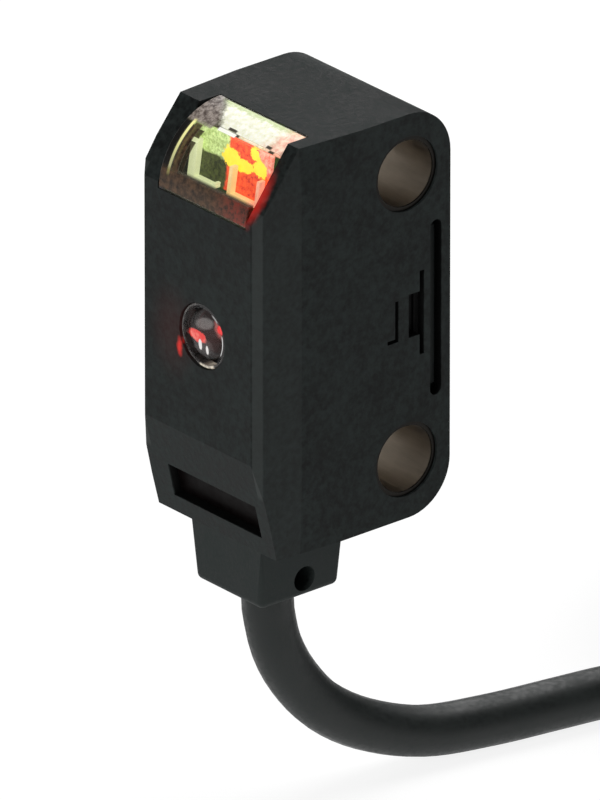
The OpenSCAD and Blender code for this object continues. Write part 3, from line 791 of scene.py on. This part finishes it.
class SENSOR_OT_window(bpy.types.Operator):
    """Makes the indicator window, the light guides behind it and their glow"""

    bl_idname = "sensor.window"
    bl_label = "Indicator window"

    def execute(self, context):
        glow = context.scene.sensor_optics.glow
        self.shell(glow)
        self.guides(glow)
        self.panel(glow)
        for node, colour in (("operation_led", (1, 0.3, 0.03)), ("stability_led", (0.35, 1, 0.2))):
            lit = moulded(node + "_lens", shade(colour, 0.8), 0.3, grain=0.2, specular=0.5)
            lit.emit(colour, 2.0 * glow)
            paint(frame["nodes"][node], lit)
        return {"FINISHED"}

    def shell(self, glow):
        """A clear quarter-round cover with its two ends."""
        thick, gap = 0.3, 0.03
        steps = 40
        angles = [math.radians(90 + 88 * i / steps) for i in range(steps + 1)]

        def at(radius, angle):
            return (WINDOW_Y + radius * math.cos(angle), WINDOW_Z + radius * math.sin(angle))

        outline = [at(WINDOW_R, a) for a in angles] + [at(WINDOW_R - thick, a) for a in reversed(angles)]
        shell = make_mesh("indicator_cover", *prism(outline, WINDOW_LOW_X + gap, WINDOW_HIGH_X - gap))
        bevel(shell, 0.05, 2, 40)
        return fit(shell, self.cover_finish(glow), "window_clear", "indicator_window")

    def cover_finish(self, glow):
        """Clear plastic that lets little through at the top and along the front, with painted glow along its
        top, the light guides' glow painted in a yellow strip and a white line, dark bands along its front and
        left, and painted shadow in the gap at its left edge.

        Angles are degrees round the cover, from 90 at its top edge to 178 at its front edge.
        """
        clear = Finish("window_clear", specular_ior_level=0.25)
        place = clear.place()
        x, y, z = clear.split(place)
        angle = 180 - clear.maths("ARCTAN2", z - WINDOW_Z, WINDOW_Y - y) * (180 / math.pi)
        fine = clear.noise(place, 4.0, 4.0, 0.7)
        slow = clear.noise(place, 1.1, 3.0)
        mottled = clear.step(fine, 0.3, 0.7)

        # Where each part of the pattern lies
        top = clear.band(angle, 92, 117.5, 0.8)
        tab_end = (angle - 91) * (1.5 / 26) - 2.25
        right_of = clear.step(x - tab_end + (fine - 0.5) * 0.6, -0.28, 0.28)
        painted_top_glow = top * right_of
        tab = (1 - clear.step(angle, 121, 124)) * (1 - right_of) * (1 - clear.step(x, -1.15, -1.0))
        low_band = clear.step(angle, 158, 162) * (1 - clear.step(angle, 175.5, 177))
        left_strip = clear.band(x, -2.08, -1.6, 0.05) * clear.band(angle, 122, 162, 1.5)
        # Painted shadow in the gap between the cover's left edge and the housing, joined with the dark bands
        # along the front and the left
        painted_gap_shadow = (1 - clear.step(x, -2.4, -2.33)) * clear.step(angle, 122, 124)
        dark_bands_and_gap_shadow = clear.greatest(low_band, left_strip, painted_gap_shadow)
        # Painted glow of the light guides: a yellow strip down the left and a white line under the top
        painted_yellow_glow = clear.band(x, -2.3, -2.12, 0.04) * clear.band(angle, 121, 165, 2.0)
        painted_white_glow_line = clear.band(angle, 117.8, 121, 0.4) * clear.band(x, -0.75, 0.45, 0.06)
        notches = clear.band(x, -0.25, 0.3, 0.06) + clear.band(x, 2.35, 2.7, 0.06)
        notch = clear.band(angle, 114.6, 117.2, 0.4) * notches
        # The pink right end and the green rim tint the top, whose colour is also given out as painted glow
        pink = clear.step(x + (slow - 0.5) * 1.5, 1.7, 3.0)
        green_rim = 1 - clear.step(angle + (fine - 0.5) * 8, 94, 99)

        body = clear.mix(mottled, (0.66, 0.67, 0.5), (0.93, 0.92, 0.82))
        body = clear.mix(green_rim * 0.75, body, (0.4, 0.5, 0.16))
        body = clear.mix(pink * 0.75, body, clear.mix(mottled, (0.7, 0.2, 0.14), (0.95, 0.62, 0.45)))
        brown = clear.mix(mottled, (0.11, 0.08, 0.07), (0.5, 0.43, 0.38))
        dark = clear.mix(mottled, (0.02, 0.012, 0.007), (0.13, 0.07, 0.035))
        dark = clear.mix(clear.step(x, 0.6, 3.2) * mottled, dark, (0.28, 0.02, 0.012))
        colour = clear.mix(top, (0.3, 0.3, 0.22), body)
        colour = clear.mix(tab, colour, brown)
        colour = clear.mix(dark_bands_and_gap_shadow, colour, dark)
        colour = clear.mix(painted_gap_shadow * (1 - low_band), colour, (0.008, 0.007, 0.006))
        clear.give("Base Color", clear.mix(notch, colour, (0.05, 0.04, 0.03)))
        clear.give("Roughness", top * 0.25 + dark_bands_and_gap_shadow * 0.3 + 0.08)
        covered = clear.greatest(painted_top_glow * 0.97, tab * (mottled * 0.2 + 0.75), dark_bands_and_gap_shadow * 0.93, painted_yellow_glow, painted_white_glow_line)
        clear.give("Alpha", clear.greatest(covered, mottled * 0.03 + 0.05))

        light = clear.mix(painted_yellow_glow * (1 - clear.step(angle, 124, 168) * 0.8), (0, 0, 0), (1, 0.95, 0.3))
        light = clear.mix(painted_white_glow_line, light, (1, 1, 0.97))
        clear.emit(clear.mix(painted_top_glow * (1 - notch) * 0.5, light, body), 0.75 * glow)
        return clear

    def tilted(self, z, inward=0):
        """The leaning plane that the light guides stand on: its y at a height."""
        return -7.55 + (z - 6.95) * 0.16 + inward

    def guides(self, glow):
        """Two open frames of white light guide, with a bar down each side and along the bottom."""
        thick = 0.35
        # Each bar's span in x and in z
        bars = [
            ((-1.95, -1.48), (6.95, 8.75)), ((-1.48, 0), (6.95, 7.08)), ((-0.2, 0), (7.08, 7.2)),
            ((0.78, 1.02), (6.95, 8.3)), ((1.02, 2.75), (6.95, 7.08)), ((2.68, 2.9), (7.08, 8.2)),
        ]
        made = bmesh.new()
        for across, up in bars:
            corners = [(x, z, inward) for x in across for z in up for inward in (0, thick)]
            add_box(made, [(x, self.tilted(z, inward), z) for x, z, inward in corners])
        mesh = bpy.data.meshes.new("light_guide_frames")
        finish_mesh(made, mesh)
        guides = bevel(add_object("light_guide_frames", mesh), 0.04)
        white = Finish("guide_white", specular_ior_level=0.5)
        place = white.place()
        x, _, _ = white.split(place)
        soft = white.noise(place, 2.5, 2.0)
        tint = white.mix(white.step(x, -0.1, 0.7), (0.72, 0.78, 0.42), (1, 0.62, 0.22))
        tint = white.mix(white.step(x, 1.9, 2.6), tint, (1, 0.32, 0.2))
        white.give("Base Color", white.mix(soft, (0.3, 0.33, 0.2), (0.5, 0.52, 0.36)))
        white.give("Roughness", soft * 0.2 + 0.3)
        # Painted glow: the guides give out their own light, green-white, then amber, then red along their
        # length
        white.emit(tint, 0.8 * glow)
        return fit(guides, white, "guide_white", "light_guide")

    def panel(self, glow):
        """The lit face behind the frames: green at one end, amber in the middle, red at the other."""
        low_x, high_x, low_z, high_z = -2.3, 3.1, 6.9, 9.35
        thick, behind_frames, crown_h = 0.15, 0.4, 0.12
        nx, nz = 24, 12
        vertices, faces = [], []
        for layer in (0, 1):
            for i in range(nx + 1):
                for k in range(nz + 1):
                    x = low_x + (high_x - low_x) * i / nx
                    z = low_z + (high_z - low_z) * k / nz
                    crown = crown_h * math.sin(math.pi * k / nz) * abs(math.sin(math.pi * 2 * i / nx))
                    vertices.append((x, self.tilted(z, behind_frames + thick * layer + crown), z))
        count = (nx + 1) * (nz + 1)

        def spot(i, k, layer):
            return layer * count + i * (nz + 1) + k

        for layer in (0, 1):
            faces += [
                (spot(i, k, layer), spot(i + 1, k, layer), spot(i + 1, k + 1, layer), spot(i, k + 1, layer))
                for i in range(nx) for k in range(nz)
            ]
        edge = ([(i, 0) for i in range(nx)] + [(nx, k) for k in range(nz)]
                + [(i, nz) for i in range(nx, 0, -1)] + [(0, k) for k in range(nz, 0, -1)])
        for a, b in zip(edge, edge[1:] + edge[:1]):
            faces.append((spot(*a, 0), spot(*b, 0), spot(*b, 1), spot(*a, 1)))
        panel = make_mesh("light_panel", vertices, faces)
        lit = Finish("light_panel_glow", specular_ior_level=0.4)
        place = lit.place()
        x, _, z = lit.split(place)
        warp = lit.noise(place, 1.7, 3.0)
        fine = lit.noise(place, 5.0, 4.0, 0.7)
        grain = lit.step(fine, 0.3, 0.7)
        high = lit.step(z + (warp - 0.5) * 0.4, 8.1, 8.25)
        green = lit.mix(grain, (0.26, 0.36, 0.09), (0.62, 0.76, 0.32))
        left = lit.mix(high, lit.mix(grain, (0.006, 0.01, 0.002), (0.06, 0.075, 0.015)), green)
        red = lit.mix(grain, (0.5, 0.015, 0.01), (1, 0.12, 0.03))
        salmon = lit.mix(grain, (0.75, 0.1, 0.06), (0.95, 0.42, 0.3))
        right = lit.mix(lit.step(z, 8.2, 8.7) * lit.step(x, 1.9, 2.3), red, salmon)
        base = lit.mix(lit.step(x + (warp - 0.5) * 0.5, 0.1, 0.3), left, right)

        # Hot spots: the middle and the two radii of each
        others = ((1.2, 8.3, 0.6, 0.3), (1.9, 9.05, 0.35, 0.32), (2.35, 8.5, 0.5, 0.42))
        near = lit.away(x - 0.35, z - 8.5, 0.62, 0.5)
        for mid_x, mid_z, radius_x, radius_z in others:
            near = lit.maths("MINIMUM", near, lit.away(x - mid_x, z - mid_z, radius_x, radius_z))
        near = near + (warp - 0.5) * 1.1 + (fine - 0.5) * 1.3
        hot = 1 - lit.step(near, 0.85, 1.05)
        lit.give("Base Color", lit.mix(hot, base, (1, 0.8, 0.1)))
        lit.give("Roughness", fine * 0.3 + 0.3)
        lit.emit(lit.mix(hot, base, lit.mix(grain, (1, 0.5, 0.0), (1, 0.86, 0.03))), 0.8 * glow)
        return fit(panel, lit, "led_orange")


class SENSOR_OT_optics(bpy.types.Operator):
    """Makes the emitter lens and its lit cone, and finishes the receiver and the inner optics"""

    bl_idname = "sensor.optics"
    bl_label = "Optics"

    def execute(self, context):
        settings = context.scene.sensor_optics
        self.lens(settings.glow)
        self.cone(settings)
        self.inner(settings)
        return {"FINISHED"}

    def lens(self, glow):
        """A clear plano-convex lens with a raised rim, painted with highlights, red glow and an arc of shade.
        """
        face = FRONT_Y + 0.1
        collar, hollow, back = FRONT_Y + 0.82, FRONT_Y + 1.3, FRONT_Y + 1.78
        dome_r, dome_h = 1.18, 0.2
        turns = [math.radians(degrees) for degrees in range(0, 90, 6)]
        profile = [(1.87, back), (1.87, collar), (1.545, collar), (1.545, face + 0.04)]
        profile += [(1.5, face), (1.3, face), (1.24, face + 0.1)]
        profile += [(dome_r * math.cos(turn), face + 0.16 - dome_h * math.sin(turn)) for turn in turns]
        profile += [(0, face - 0.04), (0, hollow), (1.2, hollow), (1.3, back)]
        lens = turned("emitter_lens_glass", profile, (OPTICS_X, EMITTER_Z))
        lens.data.set_sharp_from_angle(angle=math.radians(35))
        glass = Finish("lens_clear", specular_ior_level=0.35)
        place = glass.place()
        x, _, z = glass.split(place)
        across, up = x - OPTICS_X, z - EMITTER_Z
        from_axis = glass.away(across, up, 1.0, 1.0)
        turn = glass.maths("ARCTAN2", up, across) * (180 / math.pi)
        fine = glass.noise(place, 3.0, 3.0)
        mottled = glass.step(fine, 0.35, 0.65)

        def arc(first, last, low, high, soft=0.04):
            return glass.band(turn, first, last, 3) * glass.band(from_axis, low, high, soft)

        def spot(mid_x, mid_z, radius_x, radius_z, ragged=0.5):
            from_spot = glass.away(across - mid_x, up - mid_z, radius_x, radius_z)
            return 1 - glass.step(from_spot + (fine - 0.5) * ragged, 0.75, 1.1)

        rim = glass.band(from_axis, 1.42, 1.6, 0.04)
        # Painted shade: an arc at the upper right of the rim is near black
        shade_arc = arc(-30, 100, 1.36, 1.6)
        # Painted light: a warm arc at the bottom of the rim
        painted_warm_arc_light = arc(-100, -62, 1.38, 1.56)
        rim_colour = glass.mix(mottled, (0.03, 0.028, 0.026), (0.14, 0.13, 0.125))
        colour = glass.mix(rim, (0.02, 0.018, 0.017), rim_colour)
        colour = glass.mix(painted_warm_arc_light, colour, (0.6, 0.55, 0.46))
        glass.give("Base Color", glass.mix(shade_arc, colour, (0.002, 0.002, 0.002)))
        # Painted highlights in white arcs and streaks, and painted red glow in a band and a spot at the side,
        # all given out as light
        bright = glass.greatest(arc(46, 66, 1.16, 1.28), arc(-27, 16, 1.24, 1.33))
        band = spot(-0.42, -0.14, 0.72, 0.3, 0.9)
        painted_red_spot = spot(1.1, 0.62, 0.24, 0.26)
        painted_light_streaks = glass.greatest(spot(-0.2, -0.5, 0.14, 0.28), spot(0.26, -0.62, 0.1, 0.24))
        light = glass.mix(spot(-0.1, -0.5, 0.75, 0.5, 1.2) * 0.45, (0, 0, 0), (0.28, 0.26, 0.26))
        light = glass.mix(band, light, glass.mix(mottled, (0.85, 0.02, 0.015), (0.95, 0.16, 0.12)))
        light = glass.mix(painted_light_streaks, light, (0.85, 0.82, 0.8))
        light = glass.mix(bright, light, (1, 1, 1))
        light = glass.mix(painted_red_spot, light, (0.95, 0.03, 0.03))
        glass.emit(glass.mix(painted_warm_arc_light * mottled, light, (0.4, 0.35, 0.27)), 0.9 * glow)
        solid = glass.greatest(bright, band, painted_red_spot, painted_light_streaks, rim, shade_arc)
        glass.give("Alpha", solid * 0.6 + 0.35)
        glass.give("Roughness", fine * 0.1 + 0.12)
        return fit(lens, glass, "lens_clear", "emitter_lens")

    def cone(self, settings):
        """The bright cone behind the lens, with the lit die at its middle."""
        start = FRONT_Y + 0.5
        depths = ((1.15, 0), (0.95, 0.25), (0.6, 0.55), (0.3, 0.7), (0, 0.72), (0, 0.9), (1.15, 0.78))
        profile = [(radius, start + depth) for radius, depth in depths]
        cone = turned("emitter_cone", profile, (OPTICS_X, EMITTER_Z), 48)
        lit = Finish("emitter_glow", specular_ior_level=0.6)
        place = lit.place()
        x, _, z = lit.split(place)
        fine = lit.noise(place, 3.2, 4.0, 0.65)
        coarse = lit.noise(place, 1.6, 2.0)

        def blob(mid_x, mid_z, radius):
            from_blob = lit.away(x - OPTICS_X - mid_x, z - EMITTER_Z - mid_z, radius, radius)
            return 1 - lit.step(from_blob + (fine - 0.5) * 0.6, 0.8, 1.2)

        die = lit.mix(fine, (0.25, 0.02, 0.02), (0.8, 0.25, 0.22))
        grey = lit.mix(fine, (0.05, 0.045, 0.045), (0.3, 0.28, 0.27))
        light = lit.mix(blob(0, 0, 0.45), (0.006, 0.003, 0.003), die)
        lit.give("Base Color", lit.mix(coarse, (0.012, 0.011, 0.011), (0.06, 0.055, 0.05)))
        lit.give("Roughness", fine * 0.3 + 0.2)
        lit.emit(lit.mix(blob(-0.8, 0.1, 0.3), light, grey), 0.95 * settings.glow)
        return fit(cone, lit, "led_red")

    def inner(self, settings):
        """Finishes of the filter, the boards and everything else inside."""
        nodes = frame["nodes"]
        dark = moulded("filter_dark", (0.003, 0.002, 0.002), 0.4, grain=0.4, specular=0.03, depth=0.003)
        paint(nodes["receiver_window"], dark)
        clear = moulded("receiver_glass", (0.7, 0.72, 0.72), 0.08, grain=0.5, specular=0.6, depth=0.002)
        clear.give("Alpha", 0.45)
        paint(nodes["receiver_lens"], clear)
        green = moulded("board_green", (0.03, 0.16, 0.07), 0.4, grain=0.3, specular=0.5)
        for node in ("indicator_board", "receiver_board", "main_board"):
            paint(nodes[node], green)
        # Node, finish, colour and roughness
        looks = [
            ("emitter_barrel", "barrel_black", (0.012, 0.012, 0.012), 0.6),
            ("photodiode", "chip_black", (0.03, 0.025, 0.035), 0.25),
            ("control_chip", "chip_moulding", (0.02, 0.02, 0.022), 0.5),
            ("board_components", "component_tan", (0.42, 0.3, 0.17), 0.5),
            ("board_flexes", "flex_amber", (0.55, 0.27, 0.05), 0.35),
            ("lead_wires", "wire_insulation", (0.16, 0.08, 0.05), 0.45),
            ("adjuster_body", "adjuster_blue", (0.03, 0.12, 0.4), 0.4),
            ("mode_switch_body", "switch_black", (0.02, 0.02, 0.02), 0.45),
        ]
        for node, name, colour, rough in looks:
            paint(nodes[node], moulded(name, colour, rough, grain=0.18, specular=0.4))
        red = moulded("led_red_dome", shade(settings.beam[:], 0.8), 0.2, grain=0.2, specular=0.6)
        red.emit(tuple(settings.beam), 3.0 * settings.glow)
        paint(nodes["emitter_led"], red)


class SENSOR_OT_controls(bpy.types.Operator):
    """Finishes the two turning controls on the back"""

    bl_idname = "sensor.controls"
    bl_label = "Controls"

    def execute(self, context):
        looks = (("adjuster_knob", "knob_white", (0.78, 0.77, 0.72)),
                 ("mode_switch_knob", "knob_orange", (0.85, 0.22, 0.03)))
        for node, name, colour in looks:
            paint(frame["nodes"][node], moulded(name, colour, 0.42, grain=0.25, specular=0.4, spread=0.08))
            soften(node, 0.04)
        return {"FINISHED"}


class SENSOR_PT_looks(bpy.types.Panel):
    """Lists the sizes, the colours and the steps that build the sensor's looks"""

    bl_idname = "SENSOR_PT_looks"
    bl_label = "Sensor looks"
    bl_space_type = "VIEW_3D"
    bl_region_type = "UI"
    bl_category = "Sensor"

    def draw(self, context):
        for group in GROUPS:
            column = self.layout.column()
            settings = getattr(context.scene, group)
            for name in settings.bl_rna.properties.keys():
                if name not in ("rna_type", "name"):
                    column.prop(settings, name)
        for operator in OPERATORS:
            self.layout.operator(operator.bl_idname)


GROUPS = {"sensor_cable": CableSettings, "sensor_housing": HousingSettings, "sensor_optics": OpticsSettings,
          "sensor_stage": StageSettings}
OPERATORS = (SENSOR_OT_stage, SENSOR_OT_cable, SENSOR_OT_housing, SENSOR_OT_window, SENSOR_OT_optics,
             SENSOR_OT_controls)


def register():
    for made in (*GROUPS.values(), *OPERATORS, SENSOR_PT_looks):
        bpy.utils.register_class(made)
    for name, group in GROUPS.items():
        setattr(bpy.types.Scene, name, bpy.props.PointerProperty(type=group))


def unregister():
    for name in GROUPS:
        delattr(bpy.types.Scene, name)
    for made in (SENSOR_PT_looks, *reversed(OPERATORS), *reversed(tuple(GROUPS.values()))):
        bpy.utils.unregister_class(made)


def main():
    register()
    bpy.ops.sensor.stage()
    bpy.ops.sensor.cable()
    bpy.ops.sensor.housing()
    bpy.ops.sensor.window()
    bpy.ops.sensor.optics()
    bpy.ops.sensor.controls()


if __name__ == "__main__":
    main()
